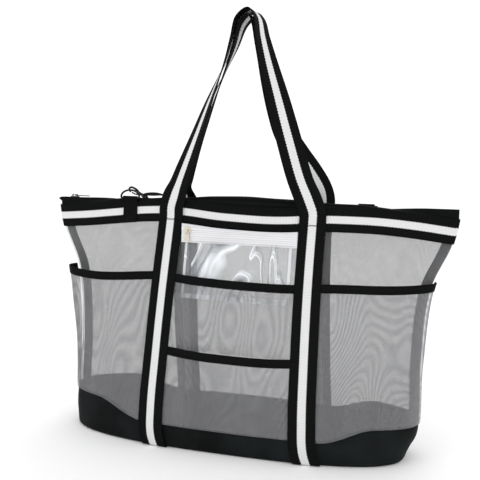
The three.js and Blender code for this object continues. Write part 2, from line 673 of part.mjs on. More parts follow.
add('front_ring_tab', ringTab(LEFT, FRONT), blackCloth);
add('back_ring_tab', ringTab(RIGHT, BACK), blackCloth);
addRing('front_ring', LEFT, FRONT, -4);
addRing('back_ring', RIGHT, BACK, 166);
addOnHook('hook_body', hookBody(), HOOK_TURN);
addOnHook('hook_gate', hookGate(), HOOK_TURN);
addOnHook('hook_eye', hookEye(), EYE_TURN);
add('hook_leash', leash(), blackCloth);

export default bag;
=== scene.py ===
# Looks of a see-through mesh beach tote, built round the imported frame.
# Lengths in the shape functions are millimetres in the frame's axes; meshes are written in metres.
import json
import math

import bpy
import numpy as np
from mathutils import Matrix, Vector


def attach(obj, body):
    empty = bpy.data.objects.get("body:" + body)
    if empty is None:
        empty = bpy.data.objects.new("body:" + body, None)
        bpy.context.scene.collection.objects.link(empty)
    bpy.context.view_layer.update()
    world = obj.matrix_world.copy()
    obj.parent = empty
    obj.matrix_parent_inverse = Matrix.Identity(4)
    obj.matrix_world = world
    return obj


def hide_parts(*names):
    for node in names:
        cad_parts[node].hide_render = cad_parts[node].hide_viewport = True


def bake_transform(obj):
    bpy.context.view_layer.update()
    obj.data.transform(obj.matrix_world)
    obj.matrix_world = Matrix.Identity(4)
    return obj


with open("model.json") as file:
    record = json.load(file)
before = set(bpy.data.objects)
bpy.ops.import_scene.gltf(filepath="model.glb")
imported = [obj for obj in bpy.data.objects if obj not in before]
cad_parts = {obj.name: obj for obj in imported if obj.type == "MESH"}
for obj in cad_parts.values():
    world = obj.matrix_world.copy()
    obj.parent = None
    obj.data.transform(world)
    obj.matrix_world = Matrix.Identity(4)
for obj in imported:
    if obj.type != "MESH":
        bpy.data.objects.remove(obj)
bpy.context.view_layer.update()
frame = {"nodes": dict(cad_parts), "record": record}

JOINTS = {joint["name"]: joint for joint in frame["record"]["behaviour"]["joints"]}

# ---- Driving dimensions, in millimetres ----
MM = 0.001  # in metres
PI = math.pi
WEBBING = 1.9  # thickness
STRAP_WIDTH = 38.0
STRAP_X = 106.0  # a strap's middle at its stitch line
STRAP_SPLAY = 6.0  # how much further out its foot stands
STRAP_OFFSET = 2.6  # its underside, off the wall
BAND_WIDTH = 35.0
BINDING_HEIGHT = 12.4
FLOOR_GAP = 0.3
BASE_ROLL = 4.0  # radius of the base's lower edge
BASE_LEVEL = 40  # height whose outline spaces the base's columns
WALL_LEVEL = 200  # and the walls'
HINGE_HEIGHT = 337.0
HANDLE_TOP = 640.0
HANDLE_YAW = math.radians(9)
HANDLE_CROWN = -1.0  # x of the handles' highest point
POCKET_RIM = 249.0
LOWER_RIM = 145.0
PANEL_OFFSET = 1.2  # a pocket's net, off the wall at its edges
NET_LIFT = 0.4
RIM_LIFT = 2.4
POUCH_BOTTOM = 218.0
POUCH_TOP = 299.5
POUCH_HALF = 80.0
ZIP_TOP = 356.5
CLOSURE_HALF = 305.0
FRONT, BACK = -1, 1
LEFT, RIGHT = -1, 1
SIDES = ((FRONT, "front"), (BACK, "back"))


# ---- Small mathematics ----
def lerp(a, b, t):
    return a + (b - a) * t


def smooth(value, low, high):
    t = np.clip((value - low) / (high - low), 0, 1)
    return t * t * (3 - 2 * t)


def through(knots):
    """A smooth function through knots given as (position, value)."""
    at = np.array([k[0] for k in knots], float)
    value = np.array([k[1] for k in knots], float)

    def curve(x):
        x = np.clip(np.asarray(x, float), at[0], at[-1])
        i1 = np.clip(np.searchsorted(at, x, side="right"), 1, len(at) - 1)
        i0 = i1 - 1
        before = np.where(i1 >= 2, i1 - 2, i1)
        after = np.where(i1 + 1 < len(at), i1 + 1, i1 - 1)
        span = at[i1] - at[i0]
        w0 = 0.5 * span / (at[i0] - at[before])
        w1 = 0.5 * span / (at[after] - at[i1])
        p = (x - at[i0]) / span
        pp, ppp = p * p, p * p * p
        return (
            (-w0 * ppp + 2 * w0 * pp - w0 * p) * value[before]
            + ((1 + w0) * ppp + (-1.5 - 2 * w0) * pp + (w0 - 0.5) * p + 1) * value[i0]
            + ((-1 - w1) * ppp + (1.5 + w1) * pp + 0.5 * p) * value[i1]
            + (w1 * ppp - w1 * pp) * value[after]
        )

    return curve


def xyz(*values):
    return np.stack(values, axis=-1)


def unit(v):
    return v / np.maximum(np.linalg.norm(v, axis=-1, keepdims=True), 1e-12)


def travelled(path):
    """How far along a path of points each one lies."""
    return np.concatenate([[0], np.cumsum(np.linalg.norm(np.diff(path, axis=0), axis=1))])


def sample(at, known, path):
    """Points of a path at given places, known being the places of its own points."""
    return np.stack([np.interp(at, known, path[:, k]) for k in range(3)], axis=-1)


def circle(count):
    """Cosines and sines once round a circle."""
    angle = np.linspace(0, 2 * PI, count, endpoint=False)
    return np.cos(angle), np.sin(angle)


def squarer(value, power):
    """Takes a cosine or sine towards a rounded square's."""
    return np.sign(value) * np.abs(value) ** power


RIPPLE_WAVES = 7
RIPPLE_PEAK = 3.2


def ripple(u, v, scale, seed):
    """Smooth irregular waves over (u, v), about -1 to 1, with a period of roughly scale."""
    rng = np.random.default_rng(seed)
    total = np.zeros(np.broadcast(u, v).shape)
    for _ in range(RIPPLE_WAVES):
        heading, phase = rng.uniform(0, 2 * PI, 2)
        period = scale * rng.uniform(0.6, 1.7)
        total += np.sin((u * math.cos(heading) + v * math.sin(heading)) * 2 * PI / period + phase)
    return total / RIPPLE_PEAK


# ---- The bag's wall ----
half_length = through([
    (0, 255), (14, 258.5), (35, 264), (60, 266.5), (140, 265), (250, 274), (312, 299), (362, 309),
])
half_depth = through([(0, 84), (14, 87), (35, 88), (138, 70), (243, 50), (312, 38), (362, 34)])
seam_half_gap = through([(0, 0.4), (60, 0.4), (200, 4.4), (362, 4.4)])
band_middle = through([
    (-302, 327.3), (-250, 331.7), (-200, 337.4), (-150, 342.6), (-110, 344.2), (-75, 341.8),
    (-35, 338.1), (0, 336.5), (40, 335.6), (70, 336.6), (105, 339.4), (150, 340.3), (200, 339.6),
    (250, 335.8), (302, 329.7),
])
strap_sway = through([
    (0, 6), (18, 1), (60, -1.8), (130, -3.2), (220, -3.4), (280, -2.2), (HINGE_HEIGHT, 0),
])


def seam_height(x):
    return 36.5 + 24 * smooth(-x, 118, 205) + 21 * smooth(x, 130, 205)


def foot_shift(z):
    """The base leans to the left of the mouth."""
    return -7 * (1 - smooth(z, 0, 45))


def wall_outline(angle, z):
    """The front wall's x and y: a full oval at the base that thins to a lens at the mouth."""
    rise = z / 350
    along = np.abs(np.sin(angle))
    blunt = 0.385 + 0.615 * np.maximum(rise, 0) ** 1.3
    fullness = np.clip(1 - along ** (2.6 - 0.6 * rise), 0, 1) ** blunt
    gap = seam_half_gap(z)
    return half_length(z) * np.sin(angle) + foot_shift(z), -gap - (half_depth(z) - gap) * fullness


def wall_point(angle, z, offset, side):
    """The wall at an angle from the middle to a side seam, moved outwards by offset."""
    step = 0.004
    z = np.asarray(z, float)
    inner = np.clip(angle, step - PI / 2, PI / 2 - step)
    x, y = wall_outline(angle, z)
    x1, y1 = wall_outline(inner + 0.9 * step, z)
    x0, y0 = wall_outline(inner - 0.9 * step, z)
    length = np.hypot(x1 - x0, y1 - y0)
    tx, ty = (x1 - x0) / length, (y1 - y0) / length
    return xyz(*np.broadcast_arrays(x + ty * offset, -side * (y - tx * offset), z))


def angle_at(x, z):
    return np.arcsin(np.clip((x - foot_shift(z)) / half_length(z), -1, 1))


def wall_at(x, z, offset, side):
    return wall_point(angle_at(x, z), z, offset, side)


def strap_x(z):
    return STRAP_X + STRAP_SPLAY * (1 - z / HINGE_HEIGHT)


def strap_middle(end, z):
    """A strap's middle line: it sags to the left at mid height and veers right at the foot."""
    return end * strap_x(z) + strap_sway(z)


# ---- Mesh helpers ----
def new_object(name, vertices, faces, uv=None):
    """A mesh from points in millimetres; uv gives each an (along, across) pair, in millimetres."""
    mesh = bpy.data.meshes.new(name)
    points = (np.asarray(vertices, float) * MM).tolist()
    mesh.from_pydata(points, [], [list(map(int, f)) for f in faces])
    if uv is not None:
        layer = mesh.uv_layers.new(name="cloth")
        corner = np.empty(len(mesh.loops), int)
        mesh.loops.foreach_get("vertex_index", corner)
        metres = np.asarray(uv, float)[corner] * MM
        layer.data.foreach_set("uv", metres.astype(np.float32).ravel())
    mesh.polygons.foreach_set("use_smooth", [True] * len(mesh.polygons))
    mesh.update()
    obj = bpy.data.objects.new(name, mesh)
    bpy.context.scene.collection.objects.link(obj)
    return obj


def cloth(name, place, along, across, thick, size):
    """A sheet: place(u, v) gives its points, u and v from 0 to 1, and a thick one has rounded long
    edges. size is (length, width); the width scales the coordinates that carry the weave."""
    u = np.linspace(0, 1, along + 1)
    v = np.linspace(0, 1, across + 1)
    if thick:
        edge = thick * 0.35 / size[1]
        v = np.concatenate([[0, edge * 0.3, edge], v[1:-1], [1 - edge, 1 - edge * 0.3, 1]])
        half = np.full(len(v), thick / 2)
        half[[0, -1]] *= 0.3
        half[[1, -2]] *= 0.75
    U, V = np.meshgrid(u, v, indexing="ij")
    points = place(U, V)
    rows, columns = U.shape
    index = np.arange(rows * columns).reshape(rows, columns)
    quads = np.stack([index[:-1, :-1], index[1:, :-1], index[1:, 1:], index[:-1, 1:]], axis=-1)
    quads = quads.reshape(-1, 4)
    gone = travelled(points[:, columns // 2])
    uv = np.stack([np.broadcast_to(gone[:, None], U.shape), V * size[1]], axis=-1).reshape(-1, 2)
    if not thick:
        return new_object(name, points.reshape(-1, 3), quads, uv)
    normal = unit(np.cross(np.gradient(points, axis=0), np.gradient(points, axis=1)))
    lift = normal * half[None, :, None]
    count = rows * columns
    rim = np.concatenate([index[:, 0], index[-1, 1:], index[-2::-1, -1], index[0, -2:0:-1]])
    ring = np.stack([rim, np.roll(rim, -1), np.roll(rim, -1) + count, rim + count], axis=-1)
    faces = np.concatenate([quads, quads[:, ::-1] + count, ring[:, ::-1]])
    both = np.concatenate([(points + lift).reshape(-1, 3), (points - lift).reshape(-1, 3)])
    return new_object(name, both, faces, np.concatenate([uv, uv]))


def tube(name, path, radius, sides, closed=False):
    """A round wire along a path of points; radius is one value or one for each point."""
    path = np.asarray(path, float)
    radius = np.broadcast_to(np.asarray(radius, float), (len(path),))
    ahead, behind = np.roll(path, -1, axis=0), np.roll(path, 1, axis=0)
    if not closed:
        ahead[-1], behind[0] = path[-1], path[0]
    tangent = unit(ahead - behind)
    normal = np.zeros_like(path)
    seed = np.array([0.0, 0.0, 1.0]) if abs(tangent[0][2]) < 0.9 else np.array([1.0, 0.0, 0.0])
    for i, t in enumerate(tangent):
        seed = seed - t * seed.dot(t)
        seed = seed / np.linalg.norm(seed)
        normal[i] = seed
    other = np.cross(tangent, normal)
    c, s = circle(sides)
    round_it = c[None, :, None] * normal[:, None] + s[None, :, None] * other[:, None]
    points = path[:, None] + round_it * radius[:, None, None]
    count = len(path)
    index = np.arange(count * sides).reshape(count, sides)
    faces = []
    for i in range(count if closed else count - 1):
        here, there = index[i], index[(i + 1) % count]
        for j in range(sides):
            k = (j + 1) % sides
            faces.append((here[j], here[k], there[k], there[j]))
    if not closed:
        faces.append(tuple(index[0][::-1]))
        faces.append(tuple(index[-1]))
    return new_object(name, points.reshape(-1, 3), faces)


def merged(name, pieces):
    """Several hard pieces made into one mesh of black plastic."""
    for obj in bpy.context.selected_objects:
        obj.select_set(False)
    for piece in pieces:
        dressed(piece, BLACK_PLASTIC).select_set(True)
    bpy.context.view_layer.objects.active = pieces[0]
    bpy.ops.object.join()
    pieces[0].name = name
    return pieces[0]


def stitches(name, rows, material, pitch=3.4, length=2.5, radius=0.28):
    """Rows of sewn thread: each row is a path of points, cut into short raised stitches."""
    vertices, faces = [], []
    square = [(1, 0), (0, 1), (-1, 0), (0, -1)]
    for row in rows:
        row = np.asarray(row, float)
        gone = travelled(row)
        for start in np.arange(0, gone[-1] - length, pitch):
            ends = [sample(start + length * share, gone, row) for share in (0, 0.25, 0.75, 1)]
            t = unit(ends[3] - ends[0])
            a = unit(np.cross(t, [0.31, 0.52, 0.79]))
            b = np.cross(t, a)
            base = len(vertices)
            for end, fat in zip(ends, (0.35, 1, 1, 0.35)):
                vertices += [end + (a * x + b * y) * radius * fat for x, y in square]
            for low in (base, base + 4, base + 8):
                for j in range(4):
                    k = (j + 1) % 4
                    faces.append((low + j, low + k, low + 4 + k, low + 4 + j))
            faces.append((base + 3, base + 2, base + 1, base))
            faces.append((base + 12, base + 13, base + 14, base + 15))
    return dressed(new_object(name, vertices, faces), material)


def dressed(obj, material):
    obj.data.materials.clear()
    obj.data.materials.append(material)
    return obj


def finished(obj, body, slot, *nodes):
    """Rides a piece on its body and stands it in for CAD nodes; slot, the finish's name, is not
    used.
    """
    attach(obj, body)
    if nodes:
        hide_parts(*nodes)


def sewn(obj, material, slot, *nodes):
    """A piece that is part of the bag itself."""
    finished(dressed(obj, material), "bag", slot, *nodes)


def sewing(name, rows, slot, material=None, **thread):
    """Rows of stitches in the bag, black unless a material is given."""
    finished(stitches(name, rows, material or BLACK_THREAD, **thread), "bag", slot)


# ---- Materials ----
class Shader:
    """A short way to wire up a procedural material."""

    def __init__(self, name, color=(0.5, 0.5, 0.5), roughness=0.6, **sockets):
        self.material = bpy.data.materials.new(name)
        self.material.use_nodes = True
        self.tree = self.material.node_tree
        self.surface = self.tree.nodes["Principled BSDF"]
        sockets = {"Base_Color": (*color, 1), "Roughness": roughness, **sockets}
        for socket, value in sockets.items():
            self.surface.inputs[socket.replace("_", " ")].default_value = value

    def node(self, kind, inputs=(), **settings):
        made = self.tree.nodes.new("ShaderNode" + kind)
        for key, value in settings.items():
            setattr(made, key, value)
        for key, value in dict(inputs).items():
            self.link(value, made.inputs[key])
        return made

    def place(self):
        """The object's own coordinates."""
        return self.node("TexCoord").outputs["Object"]

    def link(self, value, socket):
        if isinstance(value, bpy.types.NodeSocket):
            self.tree.links.new(value, socket)
        else:
            socket.default_value = value

    def math(self, operation, a, b=0.0, c=0.0):
        return self.node("Math", enumerate((a, b, c)), operation=operation).outputs[0]

    def fit(self, value, by, plus):
        """value * by + plus"""
        return self.math("MULTIPLY_ADD", value, by, plus)

    def times(self, a, b):
        return self.math("MULTIPLY", a, b)

    def mix(self, factor, a, b):
        """Two colours mixed; a Mix node has its colours at inputs 6 and 7 and output 2."""
        colors = [v if isinstance(v, bpy.types.NodeSocket) else (*v, 1) for v in (a, b)]
        inputs = {0: factor, 6: colors[0], 7: colors[1]}
        return self.node("Mix", inputs, data_type="RGBA").outputs[2]

    def noise(self, scale, detail=3.0, vector=None):
        inputs = {"Scale": scale, "Detail": detail, "Vector": vector or self.place()}
        return self.node("TexNoise", inputs).outputs["Fac"]

    def cloth_axes(self):
        """Metres along and across the cloth."""
        uv = self.node("UVMap", uv_map="cloth").outputs[0]
        return self.node("SeparateXYZ", {"Vector": uv}).outputs[:2]

    def wave(self, along, pitch):
        """0 to 1 ridges at a pitch in millimetres."""
        turned = self.times(along, 2 * PI / (pitch * MM))
        return self.fit(self.math("SINE", turned), 0.5, 0.5)

    def bump(self, height, depth, strength=0.6):
        """Raises the surface by height, 0 to 1, times depth in millimetres."""
        made = self.node("Bump", {"Height": height, "Distance": depth * MM, "Strength": strength})
        self.link(made.outputs[0], self.surface.inputs["Normal"])

    def color(self, value):
        self.link(value, self.surface.inputs["Base Color"])

    def alpha(self, value):
        """Opacity, held at 1 or less."""
        self.link(self.math("MINIMUM", value, 1.0), self.surface.inputs["Alpha"])

    def stretched(self, scale, turn=0.0):
        """Those coordinates scaled, and turned about Y."""
        inputs = {"Vector": self.place(), "Scale": scale, "Rotation": (0.0, turn, 0.0)}
        return self.node("Mapping", inputs).outputs[0]


BLACK = (0.0022, 0.0024, 0.0024)
MATT = 0.04  # specular level of black cloth
STRIPE_HALF = 0.15  # of the webbing's width
MOIRE_RINGS = 270.0
NET_PITCH = 1.7  # mm between threads


def webbing_material(name, width):
    """Ribbed webbing: black with a white middle stripe whose edges step with the weave."""
    shader = Shader(name, roughness=0.8, Specular_IOR_Level=MATT)
    along, across = shader.cloth_axes()
    ribs = shader.wave(along, 2.2)
    step = shader.fit(shader.wave(along, 4.4), 0.9 * MM, -0.45 * MM)
    off_middle = shader.math("ABSOLUTE", shader.math("SUBTRACT", across, width / 2 * MM))
    white = shader.math("LESS_THAN", shader.math("ADD", off_middle, step), STRIPE_HALF * width * MM)
    worn = shader.noise(90)
    thread = shader.mix(ribs, (0.55, 0.55, 0.56), (0.8, 0.8, 0.79))
    light = shader.mix(worn, thread, (0.7, 0.7, 0.7))
    dark = shader.mix(ribs, BLACK, (0.0075, 0.008, 0.008))
    shader.color(shader.mix(white, dark, light))
    rope = shader.times(ribs, shader.fit(shader.wave(across, 1.3), 0.4, 0.6))
    shader.bump(rope, 0.35)
    return shader.material


def woven_material(name, dark, light, pitch=0.9, gloss=MATT):
    """Plain weave, with painted sheen as slow patches that lift the colour towards light."""
    shader = Shader(name, roughness=0.8, Specular_IOR_Level=gloss)
    along, across = shader.cloth_axes()
    weave = shader.times(shader.wave(along, pitch), shader.wave(across, pitch))
    # Painted sheen: slow noise patches that lighten the colour; the weave adds a faint real pattern
    # on top.
    sheen_patch = shader.fit(shader.noise(14), 2.6, -1.0)
    faint = shader.times(weave, 0.15)
    tone = shader.fit(shader.math("MAXIMUM", sheen_patch, 0.0), 0.8, faint)
    shader.color(shader.mix(tone, dark, light))
    shader.bump(weave, 0.2)
    return shader.material


def ribbed_material(name, dark, light, pitch, lengthwise=False, roughness=0.75, depth=0.3):
    """Grosgrain: ribs across the tape, or along it."""
    shader = Shader(name, roughness=roughness, Specular_IOR_Level=MATT)
    along, across = shader.cloth_axes()
    ribs = shader.wave(across if lengthwise else along, pitch)
    tone = shader.fit(ribs, 0.6, shader.times(shader.noise(40), 0.4))
    shader.color(shader.mix(tone, dark, light))
    shader.bump(ribs, depth)
    return shader.material


def net_material(name, tint, cover, moire, ends=0.0):
    """Sheer net: fine threads both ways with gaps between, and the slow figure that two layers
    make; its colour carries soft upright streaks of painted highlight for light on its folds.
    cover is how opaque it is and ends how much more so where it faces along X."""
    shader = Shader(name, roughness=0.7, Specular_IOR_Level=0.0)
    along, across = shader.cloth_axes()
    threads = shader.math("MAXIMUM", shader.wave(along, NET_PITCH), shader.wave(across, NET_PITCH))
    hills = shader.noise(1.0, 1.2, shader.stretched((9.0, 1.5, 3.6)))
    rings = shader.math("SINE", shader.times(hills, MOIRE_RINGS))
    figure = shader.fit(rings, 0.5, 0.5)
    # Painted highlight: soft upright streaks of noise that lighten the net's colour, standing for
    # light on its folds.
    folds = shader.noise(1.0, 2.0, shader.stretched((32.0, 6.0, 2.5)))
    lines = shader.times(figure, moire)
    tone = shader.math("ADD", shader.times(folds, 0.8), lines)
    shader.color(shader.mix(tone, tuple(c * 0.6 for c in tint), tint))
    gaps = shader.fit(threads, 0.3, cover - 0.2)
    ringed = shader.fit(figure, -0.22 * moire, 0.11 * moire)
    normal = shader.node("TexCoord").outputs["Normal"]
    facing = shader.math("ABSOLUTE", shader.node("SeparateXYZ", {"Vector": normal}).outputs[0])
    shaded = shader.math("ADD", gaps, ringed)
    shader.alpha(shader.fit(shader.math("POWER", facing, 3.0), ends, shaded))
    shader.bump(threads, 0.2, 0.3)
    return shader.material


def clear_material(name, body):
    """Soft clear plastic: hardly there face on, with painted highlights along sharp creases, each
    with a painted dark grey refraction edge.
    """
    shader = Shader(name, roughness=0.08, IOR=1.5, Specular_IOR_Level=0.3)
    slant = shader.stretched((15.0, 4.0, 8.0), 0.5)
    inputs = {"Vector": slant, "Scale": 1.0, "Detail": 1.5, "Distortion": 0.9}
    hills = shader.node("TexNoise", inputs).outputs["Fac"]
    broken = shader.math("GREATER_THAN", shader.noise(26, 1.0), 0.44)

    def ridge(level, width):
        away = shader.math("ABSOLUTE", shader.math("SUBTRACT", hills, level))
        near = shader.math("SUBTRACT", 1.0, shader.times(away, 1 / width))
        return shader.times(shader.math("MAXIMUM", near, 0.0), broken)

    # glint: painted highlight, pale and more opaque along thin crease lines.
    glint = shader.math("MAXIMUM", ridge(0.52, 0.02), ridge(0.4, 0.012))
    # edge: painted dark refraction edges, dark grey lines beside the highlights.
    edge = shader.math("MAXIMUM", ridge(0.56, 0.022), ridge(0.37, 0.015))
    # Colour: pale on the painted highlights, dark grey on the painted refraction edges.
    shader.color(shader.mix(edge, (0.86, 0.89, 0.92), (0.2, 0.22, 0.25)))
    edged = shader.fit(edge, 0.5, body)
    shader.alpha(shader.fit(glint, 0.8, edged))
    shader.bump(hills, 4.0, 0.8)
    return shader.material


def metal_material(name, color, roughness):
    shader = Shader(name, color, roughness, Metallic=1.0)
    scuffs = shader.noise(700, 2.0)
    shader.link(shader.fit(scuffs, 0.18, roughness - 0.08), shader.surface.inputs["Roughness"])
    shader.bump(scuffs, 0.05, 0.25)
    return shader.material


def plastic_material(name, color, roughness):
    shader = Shader(name, color, roughness, Specular_IOR_Level=0.25)
    grain = shader.noise(900, 2.0)
    shader.color(shader.mix(grain, color, tuple(c * 2.2 + 0.004 for c in color)))
    shader.bump(grain, 0.06, 0.3)
    return shader.material


HANDLE_WEBBING = webbing_material("striped_webbing_38", STRAP_WIDTH)
BAND_WEBBING = webbing_material("striped_webbing_35", BAND_WIDTH)
# The base's lighter, bluish colour is the painted sheen of its slow patches.
BASE_CLOTH = woven_material("base_cloth", (0.002, 0.0025, 0.0025), (0.014, 0.018, 0.0195),
                            gloss=0.1)
CLOSURE_CLOTH = ribbed_material("closure_cloth", BLACK, (0.008, 0.009, 0.009), 5.5,
                                lengthwise=True, depth=0.5)
BINDING = ribbed_material("binding_grosgrain", (0.0015, 0.0015, 0.0017), (0.008, 0.0085, 0.009),
                          1.9)
TAB_WEBBING = ribbed_material("tab_webbing", BLACK, (0.008, 0.008, 0.0085), 1.5)
ZIP_CLOTH = ribbed_material("black_zip_cloth", BLACK, (0.008, 0.009, 0.009), 1.2, lengthwise=True)
SIDE_TAPE = woven_material("side_tape", (0.06, 0.063, 0.067), (0.16, 0.165, 0.17), pitch=1.2)
WHITE_TAPE = ribbed_material("white_zip_cloth", (0.6, 0.6, 0.62), (0.8, 0.8, 0.82), 3.2,
                             lengthwise=True, roughness=0.45, depth=0.25)
WALL_NET = net_material("wall_net", (0.25, 0.252, 0.256), 0.4, 0.12)
POCKET_NET = net_material("pocket_net", (0.3, 0.3, 0.312), 0.43, 0.8, ends=0.4)
# Both carry painted highlights and painted dark refraction edges along their creases.
CLEAR = clear_material("clear_sheet", 0.07)
CLEAR_EDGE = clear_material("clear_edge", 0.45)
DARK_METAL = metal_material("dark_nickel", (0.07, 0.066, 0.06), 0.32)
PALE_GOLD = metal_material("pale_gold", (0.66, 0.61, 0.5), 0.3)
BLACK_PLASTIC = plastic_material("black_acetal", (0.003, 0.003, 0.0032), 0.4)
BLACK_THREAD = ribbed_material("black_thread", (0.0015, 0.0015, 0.0015), (0.01, 0.01, 0.01), 0.6)
GREY_THREAD = ribbed_material("grey_thread", (0.3, 0.3, 0.3), (0.55, 0.55, 0.55), 0.6)


# ---- Base ----
def base_shell():
    """The black base: both walls in one loop, rolled in under the bag, with the bottom closed."""
    columns, rolled, upright = 85, 4, 12
    angle = np.linspace(-PI / 2, PI / 2, columns)

    def level(k, x):
        """Height and inset of row k: a quarter turn off the floor, then straight up to the seam."""
        if k < rolled:
            turn = k / rolled * PI / 2
            height = FLOOR_GAP + BASE_ROLL * (1 - math.cos(turn)) + 0 * x
            return height, -BASE_ROLL * (1 - math.sin(turn))
        share = (k - rolled) / (upright - 1)
        return lerp(FLOOR_GAP + BASE_ROLL, seam_height(x), share), 0.0

    loops = []
    for k in range(rolled + upright):
        rows = []
        for side in (FRONT, BACK):
            a = angle if side == FRONT else angle[::-1]
            x = half_length(BASE_LEVEL) * np.sin(a)
            z, inset = level(k, x)
            free = smooth(z, 4, 30) * (1 - smooth(z, 40, 54) * 0.6)
            slack = 1.1 * ripple(x, z * 2.2, 120, 5 + side) * free
            rows.append(wall_point(a, z, inset + slack, side)[:-1])
        loops.append(np.concatenate(rows))
    count = len(loops[0])
    index = np.arange(len(loops) * count).reshape(len(loops), count)
    nxt = np.roll(index, -1, axis=1)
    faces = np.stack([index[:-1], nxt[:-1], nxt[1:], index[1:]], axis=-1).reshape(-1, 4).tolist()
    faces.append(index[0][::-1].tolist())
    vertices = np.concatenate(loops)
    gone = travelled(loops[rolled + 2])
    uv = np.stack([np.tile(gone, len(loops)), vertices[:, 2]], axis=-1)
    shell = dressed(new_object("base_shell", vertices, faces, uv), BASE_CLOTH)
    finished(shell, "bag", "base_fabric", "base_bottom_panel", "front_base_wall", "back_base_wall")


def base_seams():
    for side, where in SIDES:
        x = np.linspace(-262, 262, 160)
        row = wall_at(x, seam_height(x) - 3.2, 1.6, side)
        sewing(f"{where}_base_stitches", [row], "base_fabric")


# ---- Net walls ----
def wall_net(side, where):
    def place(u, v):
        a = lerp(-PI / 2, PI / 2, u)
        x = half_length(WALL_LEVEL) * np.sin(a)
        z = lerp(seam_height(x) - 3, band_middle(x) - 8, v)
        free = np.sin(PI * v) * (1 - smooth(np.abs(x), 220, 262))
        return wall_point(a, z, -0.6 + 1.6 * free * ripple(x, z, 170, 20 + side), side)

    net = dressed(cloth(f"{where}_net", place, 120, 60, 0, (640, 300)), WALL_NET)
    finished(net, "bag", "mesh_net", f"{where}_net_panel")


def side_seam(end, hand):
    """The bound seam allowance stands inwards between the two walls."""
    width = 14.5

    def place(u, v):
        z = lerp(54, 316, u)
        x = end * (half_length(z) - 1.0 - width * v)
        return xyz(x, 0.8 * ripple(z, v * 0, 90, 31 + end) * v, z)

    tape = cloth(f"{hand}_seam_tape", place, 50, 3, 1.6, (262, width))
    sewn(tape, SIDE_TAPE, "side_seam_tape", f"{hand}_side_binding")


# ---- Top band, closure and zip ----
def top_band(side, where):
    def place(u, v):
        a = lerp(-PI / 2, PI / 2, u)
        x = half_length(WALL_LEVEL) * np.sin(a)
        middle = band_middle(x * 1.15)
        z = lerp(middle - BAND_WIDTH / 2, middle + BAND_WIDTH / 2, v)
        return wall_point(a, z, 1.3 + 0.35 * ripple(x, z, 60, 40 + side), side)

    band = cloth(f"{where}_band", place, 220, 8, WEBBING, (620, BAND_WIDTH))
    sewn(band, BAND_WEBBING, "band_webbing", f"{where}_top_band")
    x = np.linspace(-292, 292, 200)
    rows = [wall_at(x, band_middle(x * 1.02) + lift, 2.4, side) for lift in (-14.8, 14.8)]
    sewing(f"{where}_band_stitches", rows, "band_webbing")


closure_crest = through([
    (-302, 357.4), (-265, 357.4), (-230, 358.8), (-195, 360.6), (-162, 359), (-130, 360),
    (-100, 362), (-50, 366), (0, 367.3), (50, 365.6), (100, 362.8), (150, 361.4), (200, 360.6),
    (302, 361.2),
])
CLOSURE_INNER_Y = 3.7
CLOSURE_DIP_Z = 354.5


def closure_strip(side, where):
    """Black cloth that puffs up behind the band and dips to the zip, with long soft folds."""
    def place(u, v):
        x = lerp(-CLOSURE_HALF, CLOSURE_HALF, u)
        puff = 1 - smooth(np.abs(x), 160, 265)
        top = closure_crest(x) - 0.5
        rim = band_middle(x) + BAND_WIDTH / 2
        outer_y = np.maximum(-wall_at(x, rim, 0, FRONT)[..., 1] - 1.4, CLOSURE_INNER_Y)
        outer_z = rim - 8
        inner_z = lerp(top, CLOSURE_DIP_Z, puff)
        arch = puff * (top - lerp(outer_z, inner_z, 0.55)) * np.sin(PI * v ** 1.15) ** 2
        y = side * lerp(outer_y, CLOSURE_INNER_Y, v)
        fold = 0.45 * np.sin(v * 5 * PI) * np.sin(PI * v)
        wave = 0.4 * ripple(x, v * 20, 80, 50 + side) * puff
        z = lerp(outer_z, inner_z, v) + arch + fold + wave
        return xyz(x, y, z)

    strip = cloth(f"{where}_closure", place, 180, 24, 0.9, (602, 36))
    sewn(strip, CLOSURE_CLOTH, "closure_fabric", f"{where}_closure_strip")


def zip_tape(side, where):
    """The tape hangs inside the closure and carries a row of coiled teeth along its top."""
    start, end, pitch, turn_points = -292, 286, 1.7, 8

    def place(u, v):
        z = lerp(ZIP_TOP - 13, ZIP_TOP - 1.6, v)
        return xyz(lerp(start, end, u), side * (2.2 - 0.3 * v), z)

    tape = cloth(f"{where}_zip_cloth", place, 60, 4, 0.8, (end - start, 12))
    sewn(tape, ZIP_CLOTH, "black_zip_tape", f"{where}_zip_tape")
    t = np.arange(int((end - start) / pitch) * turn_points) / turn_points
    x = start + (t + (0.5 if side == FRONT else 0)) * pitch
    turn = t * 2 * PI
    y, z = side * (1.55 + 0.95 * np.cos(turn)), ZIP_TOP - 1.7 + 1.1 * np.sin(turn)
    coil = tube(f"{where}_zip_coil", xyz(x, y, z), 0.38, 5)
    sewn(coil, BLACK_PLASTIC, "black_plastic")


def zip_tail():
    def outline(u, v):
        x = lerp(-292.5, -311.2, u)
        low = lerp(343.4, 352.5, smooth(u, 0.4, 1.0))
        high = lerp(355.4, 356.6, u) - 1.2 * smooth(u, 0.85, 1)
        return xyz(x, 0 * u, lerp(low, high, v))

    tail = cloth("zip_tail_tab", outline, 16, 6, 2.3, (19, 13))
    sewn(tail, ZIP_CLOTH, "black_zip_tape", "zip_tail")
    rows = [[(-294, y, 353.6), (-307, y, 354.6)] for y in (-1.25, 1.25)]
    sewing("zip_tail_stitches", rows, "black_zip_tape", radius=0.22)


def polished(node, material, bevel=0.35):
    """A hard CAD piece keeps its shape and gets rounded edges and its own finish."""
    obj = frame["nodes"][node]
    dressed(obj, material)
    rounding = obj.modifiers.new("rounded_edges", "BEVEL")
    rounding.width = bevel * MM
    rounding.segments = 3
    rounding.angle_limit = math.radians(40)
    rounding.harden_normals = True
    obj.data.polygons.foreach_set("use_smooth", [True] * len(obj.data.polygons))


